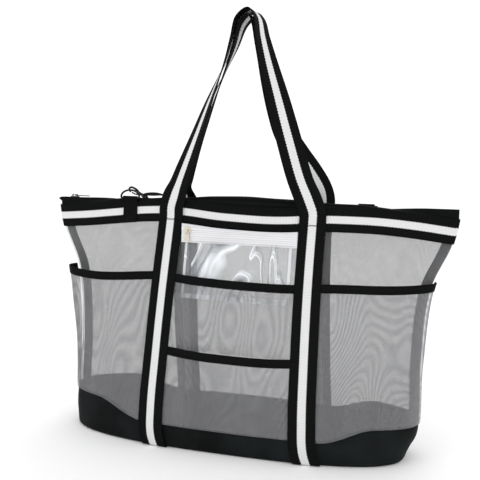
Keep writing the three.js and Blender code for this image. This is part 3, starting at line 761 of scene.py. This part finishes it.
# ---- Striped straps and handles ----
FOOT_X, FOOT_Z = STRAP_X + 0.2, HINGE_HEIGHT + 0.4
HANDLE_LEGS = {  # (x, z) up each leg, left and right
    FRONT: (
        [(-FOOT_X, FOOT_Z), (-FOOT_X, 348), (-102, 364), (-93, 392), (-75.5, 448), (-57.5, 508),
         (-37, 567), (-28, 598), (-18.5, 629)],
        [(FOOT_X, FOOT_Z), (FOOT_X, 348), (99.5, 366), (86, 395), (67, 451), (48.5, 508),
         (29, 566), (18.5, 600), (10.5, 629)],
    ),
    BACK: (
        [(-FOOT_X, FOOT_Z), (-108, 350), (-112, 364), (-113.5, 381), (-109.5, 396), (-97.5, 433),
         (-76.5, 490), (-54.5, 541), (-40.5, 570), (-27, 598), (-14.5, 629)],
        [(FOOT_X, FOOT_Z), (107.4, 350), (109, 364), (106, 381), (89, 410), (70, 436),
         (51.5, 465), (39.5, 500), (28.5, 541), (20.5, 575), (14, 600), (6, 629)],
    ),
}
HINGE_Y = -float(wall_at(STRAP_X, HINGE_HEIGHT, STRAP_OFFSET + 0.5 + WEBBING / 2, FRONT)[1])


def handle_turn(side):
    """How far the webbing is turned about its own middle line, in degrees, by height."""
    return through([
        (HINGE_HEIGHT, -side * 4.5), (350, -side * 4.5), (364, -side * 6), (381, 24), (408, 30),
        (435, 34.5), (493, 46), (544, 60.5), (595, 75.5), (HANDLE_TOP, 90),
    ])


def smooth_path(points, per_span=40):
    """A centripetal Catmull-Rom curve through the points."""
    points = np.asarray(points, float)
    padded = np.vstack([2 * points[0] - points[1], points, 2 * points[-1] - points[-2]])
    pieces = []
    for p0, p1, p2, p3 in zip(padded, padded[1:], padded[2:], padded[3:]):
        pairs = ((p0, p1), (p1, p2), (p2, p3))
        d0, d1, d2 = (max(np.linalg.norm(b - a) ** 0.5, 1e-6) for a, b in pairs)
        m1 = ((p1 - p0) / d0 - (p2 - p0) / (d0 + d1) + (p2 - p1) / d1) * d1
        m2 = ((p2 - p1) / d1 - (p3 - p1) / (d1 + d2) + (p3 - p2) / d2) * d1
        t = np.linspace(0, 1, per_span, endpoint=False)[:, None]
        pieces.append((2 * t**3 - 3 * t**2 + 1) * p1 + (t**3 - 2 * t**2 + t) * m1
                      + (3 * t**2 - 2 * t**3) * p2 + (t**3 - t**2) * m2)
    return np.vstack(pieces + [points[-1:]])


def evenly(path, count):
    """A path's points spaced evenly, and its length."""
    gone = travelled(path)
    return sample(np.linspace(0, gone[-1], count), gone, path), gone[-1]


def handle_frames(side, inset):
    """Points along the handle's middle line, with the directions across and out of the webbing."""
    def place(x, z):
        rise = np.clip((z - 362) / (HANDLE_TOP - 362), 0, 1)
        swing = math.tan(HANDLE_YAW) * (x - HANDLE_CROWN) * smooth(z, 390, 580)
        return (x, side * HINGE_Y * (1 - rise ** 1.4) - swing, z - inset * rise)

    left, right = HANDLE_LEGS[side]
    knots = [place(x, z) for x, z in [*left, (HANDLE_CROWN, HANDLE_TOP), *right[::-1]]]
    points, _ = evenly(smooth_path(knots), 240)
    tangent = unit(np.gradient(points, axis=0))
    yaw = HANDLE_YAW * smooth(points[:, 2], 365, 470)
    deep = xyz(np.sin(yaw), np.cos(yaw), 0 * yaw)
    outward = unit(np.cross(tangent, deep))
    facing = unit(np.cross(tangent, outward))
    turn = np.radians(handle_turn(side)(np.minimum(points[:, 2] + inset, HANDLE_TOP)))[:, None]
    normal = facing * np.cos(turn) + outward * np.sin(turn)
    return points, unit(np.cross(tangent, normal)), normal


def strap_path():
    """Heights and offsets of a sewn strap, from its roll under the base to the stitch line."""
    foot = FLOOR_GAP + BASE_ROLL
    outside = STRAP_OFFSET + WEBBING / 2
    turn = np.radians(np.linspace(42, 90, 14))
    off = lerp(1.2, outside, smooth(np.degrees(turn), 42, 90))
    rise = lerp(foot, HINGE_HEIGHT, np.linspace(0, 1, 150) ** 1.2)[1:]
    z = np.concatenate([foot - (BASE_ROLL + off) * np.cos(turn), rise])
    rolled = (BASE_ROLL + off) * np.sin(turn) - BASE_ROLL
    return z, np.concatenate([rolled, np.full(len(rise), outside)])


def webbing_loop(side, where, inset):
    """One length of webbing: up the left strap, round the handle and down the right strap."""
    points, across, normal = handle_frames(side, inset)
    half, strips = STRAP_WIDTH / 2, 12
    if across[0][0] < 0:
        across = -across
    loop = []
    v = np.linspace(-1, 1, strips + 1)
    cup = 1.2 * smooth(points[:, 2], 400, 470)
    for k, point in enumerate(points):
        dish = cup[k] * (np.abs(v) ** 2.2 - 0.35)
        loop.append(point + np.outer(v * half, across[k]) + np.outer(dish, normal[k]) * 0.6)
    z, off = strap_path()
    left, right = (
        np.stack([wall_at(strap_middle(end, z) + s * half, z, off, side) for s in v], axis=1)
        for end in (LEFT, RIGHT)
    )
    joined = np.concatenate([left[:-1], np.array(loop)[1:-1], right[::-1, ::-1][1:]])
    gone = travelled(joined[:, strips // 2])
    share = gone / gone[-1]

    def place(u, w):
        out = np.empty(u.shape + (3,))
        for j in range(u.shape[1]):
            spot = w[0, j] * strips
            low = min(int(spot), strips - 1)
            line = lerp(joined[:, low], joined[:, low + 1], spot - low)
            out[:, j] = sample(u[:, j], share, line)
        return out

    strap = cloth(f"{where}_striped_webbing", place, 620, strips, WEBBING, (gone[-1], STRAP_WIDTH))
    return dressed(strap, HANDLE_WEBBING)


def straps_and_handles():
    for side, where in SIDES:
        strap = webbing_loop(side, where, 0 if side == FRONT else 8)
        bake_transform(strap)
        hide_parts(f"{where}_handle", f"{where}_left_strap", f"{where}_right_strap")
        for end, hand in ((LEFT, "left"), (RIGHT, "right")):
            strap_sewing(end, side, f"{where}_{hand}")


def strap_sewing(end, side, name):
    """Stitches along both edges of a strap, and the bar where its handle leaves it."""
    z = np.linspace(8, HINGE_HEIGHT - 8, 120)
    reach = STRAP_WIDTH / 2 - 2.2
    top = STRAP_OFFSET + WEBBING
    rows = [wall_at(strap_middle(end, z) + s * reach, z, top + 0.05, side) for s in (-1, 1)]
    sewing(f"{name}_strap_stitches", rows, "strap_webbing")
    x = end * strap_x(HINGE_HEIGHT - 2) + np.linspace(-reach - 1, reach + 1, 30)
    bars = [wall_at(x, HINGE_HEIGHT - drop + 0 * x, top + 0.15, side) for drop in (5.5, 6.6)]
    sewing(f"{name}_bar_stitches", bars, "strap_webbing", pitch=2.4, length=2.2, radius=0.4)


# ---- Outside pockets ----
def pocket_bulge(most, u, v):
    """How far a pocket stands off the wall."""
    return PANEL_OFFSET + most * (1 - np.abs(2 * u - 1) ** 2.6) * smooth(v, -0.15, 1.05)


POCKET_INNER_X, POCKET_OUTER_X = 126, 268
side_pocket_rim = {
    LEFT: through([
        (126, 252.3), (138, 251.8), (172, 249.3), (205, 248), (240, 249.4), (270, 252),
    ]),
    RIGHT: through([
        (126, 249.5), (155, 251.8), (195, 253.2), (225, 254.6), (255, 257.2), (270, 258.5),
    ]),
}


def side_pocket_place(end, bulge):
    """How a side pocket lies, u from its strap to the side seam: its top and bottom heights,
    its points at a height and an offset from the wall, and that offset."""
    def away(u):
        return lerp(POCKET_INNER_X, POCKET_OUTER_X, np.sin(u * PI / 2))

    def top(u):
        return side_pocket_rim[end](away(u))

    def low(u):
        return seam_height(end * away(u)) - 2

    def spot(u, z, offset):
        inner = angle_at(strap_middle(end, z) + end * (STRAP_WIDTH / 2 - 1), z)
        return wall_point(lerp(inner, end * (PI / 2 - 0.02), u), z, offset, FRONT)

    def full(u, z):
        return pocket_bulge(bulge, u, (z - low(u)) / (top(u) - low(u)))

    return top, low, spot, full


def middle_pocket_place(bottom, rim, tilt, bulge):
    """The same for a pocket between the straps."""
    def top(u):
        return rim + tilt * (0.5 - u)

    def low(u):
        return bottom + 0 * u

    def spot(u, z, offset):
        left, right = (strap_middle(end, z) - end * (STRAP_WIDTH / 2 - 1) for end in (LEFT, RIGHT))
        return wall_at(lerp(left, right, u), z, offset, FRONT)

    def full(u, z):
        return pocket_bulge(bulge, u, (z - low(u)) / (top(u) - bottom))

    return top, low, spot, full


def pocket(name, shape, width, seed):
    """A net pocket: the panel, its bound rim and the rim's row of stitches."""
    top, low, spot, full = shape
    height = float(top(0.5) - low(0.5))

    def net_place(u, v):
        z = lerp(low(u), top(u) - 5, v)
        free = np.sin(PI * np.clip(v * 1.1, 0, 1)) * np.sin(PI * u)
        return spot(u, z, full(u, z) + NET_LIFT + 1.5 * free * ripple(u * width, z, 130, seed))

    def rim_lift(u, z):
        return np.maximum(full(u, z) + NET_LIFT, RIM_LIFT)

    def binding_place(u, v):
        z = top(u) - BINDING_HEIGHT * (1 - v)
        return spot(u, z, rim_lift(u, z) + 0.25 * ripple(u * width, v, 50, seed + 1))

    net = dressed(cloth(f"{name}_mesh", net_place, 70, 40, 0, (width, height)), POCKET_NET)
    finished(net, "bag", "mesh_net", f"{name}_net")
    rim = cloth(f"{name}_rim", binding_place, 110, 5, 2.3, (width, BINDING_HEIGHT))
    sewn(rim, BINDING, "binding_tape", f"{name}_binding")
    u = np.linspace(0.02, 0.98, 90)
    z = top(u) - BINDING_HEIGHT + 1.8
    row = spot(u, z, rim_lift(u, z) + 1.25)
    sewing(f"{name}_rim_stitches", [row], "binding_tape", radius=0.24)


def pockets():
    pocket("left_pocket", side_pocket_place(LEFT, 28), 190, 60)
    pocket("right_pocket", side_pocket_place(RIGHT, 19), 180, 70)
    pocket("upper_pocket", middle_pocket_place(LOWER_RIM - 2, POCKET_RIM, 4.5, 15), 185, 80)
    pocket("lower_pocket", middle_pocket_place(35, LOWER_RIM, 2, 14), 188, 90)


# ---- Clear pouch ----
POUCH_ZIP_Z = 316.5
POUCH_Y = float(-wall_at(0.0, POUCH_ZIP_Z, 0.0, FRONT)[1]) + 4.4
POUCH_RIGHT = POUCH_HALF - 2


def pouch_sheet(name, node, offset, seed, creases):
    """A sheet of clear plastic; creases is how far its wrinkles stand."""
    def place(u, v):
        z = lerp(POUCH_BOTTOM, POUCH_TOP, v)
        x = lerp(-POUCH_HALF, POUCH_RIGHT, u)
        free = np.sin(PI * u) ** 0.5 * np.sin(PI * v) ** 0.5
        sharp = 1 - np.abs(ripple(x, z * 0.6, 38, seed))
        wrinkle = creases * free * (0.5 * ripple(x, z, 45, seed + 1) + 0.7 * sharp)
        return wall_at(x, z, offset(u, v) + wrinkle, FRONT)

    sheet = dressed(cloth(name, place, 110, 60, 0, (158, 79)), CLEAR)
    finished(sheet, "bag", "clear_sheet", node)


def pouch_border():
    """The pouch's welded edge down both sides and along the bottom."""
    def strip(name, place, size):
        sewn(cloth(name, place, 60, 3, 0.9, size), CLEAR_EDGE, "clear_sheet")

    def bottom(u, v):
        z = lerp(POUCH_BOTTOM - 0.5, POUCH_BOTTOM + 6, v)
        x = lerp(-POUCH_HALF - 1, POUCH_RIGHT + 1, u)
        return wall_at(x, z, 3.0 + 0.7 * ripple(x, v, 35, 7), FRONT)

    strip("pouch_bottom_edge", bottom, (160, 6.5))
    for x_side, hand in ((-POUCH_HALF - 1, "left"), (POUCH_RIGHT - 3, "right")):
        def upright(u, v, x_side=x_side):
            z = lerp(POUCH_BOTTOM, POUCH_TOP, u)
            return wall_at(x_side + 4 * v, z, 3.0 + 0.5 * ripple(z, v, 30, 8), FRONT)

        strip(f"pouch_{hand}_edge", upright, (79, 4))


def pouch_zip():
    """White tape with a covered zip: two flaps that meet along the zip line."""
    half = 86.5

    def flap(name, node, low, high, seed, lift):
        def place(u, v):
            x = lerp(-half, half, u)
            ridge = 0.35 * np.sin(v * PI * 3) ** 2
            wave = 0.35 * ripple(x, v * 10, 70, seed)
            y = -POUCH_Y - 0.5 - lift - ridge - wave * (1 - v)
            return xyz(x, y, lerp(low, high(x), v))

        piece = cloth(name, place, 90, 16, 0.9, (2 * half, float(high(0.0)) - low))
        sewn(piece, WHITE_TAPE, "white_zip_tape", node)

    flap("pouch_zip_lower", "pouch_lower_tape", 298, lambda x: POUCH_ZIP_Z + 1.2 + 0 * x, 11, 0.0)
    flap("pouch_zip_upper", "pouch_upper_tape", POUCH_ZIP_Z - 0.6,
         lambda x: band_middle(x) - BAND_WIDTH / 2 + 0.8, 12, 0.5)
    x = np.linspace(-half + 2, half - 2, 60)
    row = xyz(x, 0 * x - POUCH_Y - 1.25, 0 * x + 300.4)
    sewing("pouch_zip_stitches", [row], "white_zip_tape", GREY_THREAD, radius=0.18)


# ---- D-rings, hook and leash ----
RING_X = 175.0
RING_WIRE = 1.5
RING_HALF = 15.6
RING_RISE = 9.8
RING_DROP = 2.4
TAB_WIDTH = 24.0
TAB_THICK = 1.1
TAB_RADIUS = RING_WIRE + 0.7
RING_CORNER = 0.45


def ring_seat(end, side):
    """The middle of a ring's straight bar, and the bar's slope across the bag."""
    z = float(band_middle(end * RING_X)) + BAND_WIDTH / 2

    def at(x):
        return wall_at(x, z, STRAP_OFFSET + TAB_THICK + TAB_RADIUS - 0.6, side)

    across = at(end * RING_X + 10) - at(end * RING_X - 10)
    bar = at(end * RING_X)
    bar[2] = z + 1.8
    return bar, across[1] / across[0]


def ring_tab(end, side, where):
    """Webbing folded over the ring's straight bar and box-stitched to the band."""
    bar, slope = ring_seat(end, side)
    run = 0.55  # share of the tab below the bar

    def place(u, v):
        across = (v - 0.5) * TAB_WIDTH
        x = end * RING_X + across
        bar_y = bar[1] + slope * across
        reach = TAB_RADIUS + TAB_THICK / 2
        z = lerp(band_middle(x) - 18, bar[2] - 1, np.clip(u / run, 0, 1))
        wall = wall_at(x, z, STRAP_OFFSET + 0.6 + TAB_THICK / 2, side)
        y = lerp(wall[..., 1], bar_y + side * reach, smooth(z, bar[2] - 8, bar[2] - 1))
        turn = np.clip((u - run) / (1 - run), 0, 1) * PI * 1.1 - 0.15
        y = np.where(u >= run, bar_y + side * reach * np.cos(turn), y)
        return xyz(x, y, np.where(u >= run, bar[2] + reach * np.sin(turn), z))

    tab = cloth(f"{where}_tab", place, 60, 8, TAB_THICK, (46, TAB_WIDTH))
    sewn(tab, TAB_WEBBING, "tab_webbing", f"{where}_ring_tab")
    half = TAB_WIDTH / 2 - 2
    middle = float(band_middle(end * RING_X))
    low, high = middle - 14, middle + 8
    corners = [(-half, low), (half, low), (half, high), (-half, high), (-half, low), (half, high)]
    corners += [(-half, high), (half, low)]
    t = np.linspace(0, 1, 12)
    off = STRAP_OFFSET + TAB_THICK + 0.75
    rows = [
        wall_at(end * RING_X + lerp(x0, x1, t), lerp(z0, z1, t), off, side)
        for (x0, z0), (x1, z1) in zip(corners, corners[1:])
    ]
    sewing(f"{where}_tab_stitches", rows, "tab_webbing", pitch=2.6, length=2.0)


def d_ring(end, side, where, outwards):
    """A wire D that leans outwards by an angle in degrees."""
    bar, slope = ring_seat(end, side)
    c, s = circle(72)
    x = RING_HALF * np.where(s >= 0, c, squarer(c, RING_CORNER))
    z = RING_DROP + np.where(s >= 0, RING_RISE * s, -RING_DROP * np.abs(s) ** RING_CORNER)
    lean = math.radians(-side * outwards)
    yaw = math.atan(slope)
    y1, z1 = -z * math.sin(lean), z * math.cos(lean)
    cos, sin = math.cos(yaw), math.sin(yaw)
    path = bar + xyz(x * cos - y1 * sin, x * sin + y1 * cos, z1)
    ring = dressed(tube(f"{where}_d_ring", path, RING_WIRE, 14, closed=True), BLACK_PLASTIC)
    finished(ring, f"{where}_ring", "black_plastic", f"{where}_ring")


HOOK_AXIS = unit(np.array(JOINTS["hook_swivel"]["axis"]))
HOOK_FOOT = np.array(JOINTS["hook_swivel"]["pos_m"]) / MM


def hook_frame(across):
    """Turns points drawn along +X, in the XZ plane, to lie along the hook's axis."""
    across = unit(across - HOOK_AXIS * across.dot(HOOK_AXIS))
    basis = np.array([HOOK_AXIS, across, np.cross(HOOK_AXIS, across)])
    return lambda points: np.asarray(points, float) @ basis + HOOK_FOOT


def lathe(name, profile, turned):
    """A round piece along +X from (x, radius) pairs."""
    path = [(x, 0, 0) for x, _ in profile]
    return tube(name, turned(path), [r for _, r in profile], 24)


def snap_hook():
    turned = hook_frame(np.array([1.0, 0, 0]))
    bow = smooth_path([
        (4, 0, 1.2), (7, 0, 3.6), (13, 0, 4.6), (18, 0, 3.6), (20.2, 0, 0), (18.6, 0, -3),
        (16.4, 0, -4),
    ], 10)
    fat = np.interp(np.linspace(0, 1, len(bow)), [0, 0.3, 0.8, 1], [1.9, 1.6, 1.5, 1.2])
    heel = [(4.6, 0, -1), (5.6, 0, -2.4), (6.6, 0, -3.6)]
    barrel = [
        (0.4, 2.2), (0.8, 3.0), (1.6, 3.1), (2.0, 2.6), (2.5, 2.6), (2.9, 3.1), (4.6, 3.0),
        (5.4, 2.1),
    ]
    body = merged("snap_hook", [
        tube("hook_bow", turned(bow), fat, 14),
        tube("hook_heel", turned(heel), [1.5, 1.6, 1.3], 12),
        lathe("hook_barrel", barrel, turned),
    ])
    finished(body, "hook", "black_plastic", "hook_body")
    gate = [(7.7, 0, -3.9), (8.1, 0, -3.9), (11, 0, -3.9), (14, 0, -3.9), (14.5, 0, -3.9)]
    pin = tube("snap_gate", turned(gate), [0.7, 1.15, 1.1, 1.15, 0.7], 12)
    finished(dressed(pin, BLACK_PLASTIC), "hook_gate", "black_plastic", "hook_gate")
    eye_turned = hook_frame(np.array([0, 1.0, 0]))
    c, s = circle(48)
    eye = xyz(-4.4 + 3 * squarer(c, 0.5), 7 * squarer(s, 0.5), 0 * c)
    post = [(-1.7, 0.9), (-1.2, 1.6), (0.2, 1.6)]
    loop = merged("swivel_eye", [
        tube("eye_loop", eye_turned(eye), 1.2, 12, closed=True),
        lathe("eye_post", post, eye_turned),
    ])
    finished(loop, "bag", "black_plastic", "hook_eye")


def hook_leash():
    """A short webbing leash from behind the left strap, wrapped round the eye's far bar."""
    eye_turned = hook_frame(np.array([0, 1.0, 0]))
    bar = eye_turned([(-7.4, 0, 0)])[0]
    bar_axis = unit(eye_turned([(0, 1, 0)])[0] - HOOK_FOOT)
    away = unit(np.array([1.0, 0, 0]) - bar_axis * bar_axis[0])
    above = np.cross(away, bar_axis)
    near = [(6, 2.8), (0, 2.5), (-2.5, 0), (0, -2.5), (5, -2)]
    knots = [(-100, -23, 361.4), (-114, -21, 363.8), (-130, -18.6, 366)]
    knots += [bar + away * a + above * b for a, b in near]
    count, wide = 90, 10.5
    points, length = evenly(smooth_path(knots), count)
    tangent = unit(np.gradient(points, axis=0))
    share = np.linspace(0, 1, count)
    width = lerp(np.array([0, 1.0, 0]), bar_axis, smooth(share, 0.25, 0.6)[:, None])
    width = unit(width - tangent * np.sum(width * tangent, axis=1, keepdims=True))

    def place(u, v):
        return sample(u, share, points) + sample(u, share, width) * ((v - 0.5) * wide)[..., None]

    leash = cloth("hook_leash_webbing", place, 110, 6, 0.9, (length, wide))
    sewn(leash, TAB_WEBBING, "tab_webbing", "hook_leash")


# ---- Studio ----
CAMERA_AZIMUTH = math.radians(14.8)
CAMERA_HEIGHT = math.radians(4.9)
CAMERA_ROLL = math.radians(1.8)
CAMERA_DISTANCE = 1.0447
CAMERA_TARGET = Vector((-0.0084, 0, 0.3019))
FRAME_PIXELS = 480
FOCAL_PIXELS = 692.1
SENSOR = 36.0
FLOOR_HALF = 12000
WORLD_STRENGTH = 1.12


def camera():
    data = bpy.data.cameras.new("camera")
    data.sensor_width = SENSOR
    data.lens = FOCAL_PIXELS * SENSOR / FRAME_PIXELS
    data.clip_end = 50
    obj = bpy.data.objects.new("camera", data)
    a, e, r = CAMERA_AZIMUTH, CAMERA_HEIGHT, CAMERA_ROLL
    back = Vector((math.sin(a) * math.cos(e), -math.cos(a) * math.cos(e), math.sin(e)))
    right = Vector((math.cos(a), math.sin(a), 0))
    up = back.cross(right)
    cam_right = right * math.cos(r) + up * math.sin(r)
    cam_up = up * math.cos(r) - right * math.sin(r)
    turn = obj.matrix_world.to_3x3()
    turn.col[0], turn.col[1], turn.col[2] = cam_right, cam_up, back
    obj.matrix_world = turn.to_4x4()
    obj.location = CAMERA_TARGET + back * CAMERA_DISTANCE
    bpy.context.scene.collection.objects.link(obj)
    bpy.context.scene.camera = obj


def area_light(name, place, aim, size, power):
    data = bpy.data.lights.new(name, "AREA")
    data.shape = "RECTANGLE"
    data.size, data.size_y = size
    data.energy = power
    obj = bpy.data.objects.new(name, data)
    obj.location = place
    obj.rotation_euler = (Vector(aim) - Vector(place)).to_track_quat("-Z", "Y").to_euler()
    bpy.context.scene.collection.objects.link(obj)


def studio():
    pale = Shader("pale_floor", roughness=0.9)
    pale.color(pale.mix(pale.noise(3), (0.92, 0.92, 0.92), (0.94, 0.94, 0.94)))
    corners = [(x * FLOOR_HALF, y * FLOOR_HALF, 0) for x, y in ((-1, -1), (1, -1), (1, 1), (-1, 1))]
    floor = new_object("floor", corners, [(0, 1, 2, 3)])
    dressed(floor, pale.material)
    world = bpy.data.worlds.new("studio")
    world.use_nodes = True
    background = world.node_tree.nodes["Background"]
    background.inputs["Color"].default_value = (1, 1, 1, 1)
    background.inputs["Strength"].default_value = WORLD_STRENGTH
    bpy.context.scene.world = world
    area_light("key", (-1.4, -2.0, 2.2), (0, 0, 0.3), (1.4, 1.4), 9)
    area_light("fill", (1.8, -1.6, 1.3), (0, 0, 0.3), (1.2, 1.6), 3)
    area_light("back_rim", (0.4, 1.9, 1.7), (0, 0, 0.35), (1.6, 1.0), 5)
    bpy.context.scene.view_settings.view_transform = "Standard"


# ---- The bag ----
base_shell()
base_seams()
for side, where in SIDES:
    wall_net(side, where)
    top_band(side, where)
    closure_strip(side, where)
    zip_tape(side, where)
side_seam(LEFT, "left")
side_seam(RIGHT, "right")
zip_tail()
straps_and_handles()
pockets()
pouch_sheet("pouch_back", "pouch_back_sheet", lambda u, v: PANEL_OFFSET + 0 * u, 100, 0.0)
pouch_sheet("pouch_front", "pouch_front_sheet",
            lambda u, v: 2.6 + 8 * np.sin(PI * u) ** 0.6 * smooth(v, -0.1, 0.9), 110, 1.0)
pouch_border()
pouch_zip()
for end, side, where, outwards in ((LEFT, FRONT, "front", -4), (RIGHT, BACK, "back", 166)):
    ring_tab(end, side, where)
    d_ring(end, side, where, outwards)
snap_hook()
hook_leash()
for node in ("zip_end_stop", "zip_slider", "zip_pull"):
    polished(node, DARK_METAL)
for node in ("pouch_slider", "pouch_pull"):
    polished(node, PALE_GOLD, 0.25)
studio()
camera()
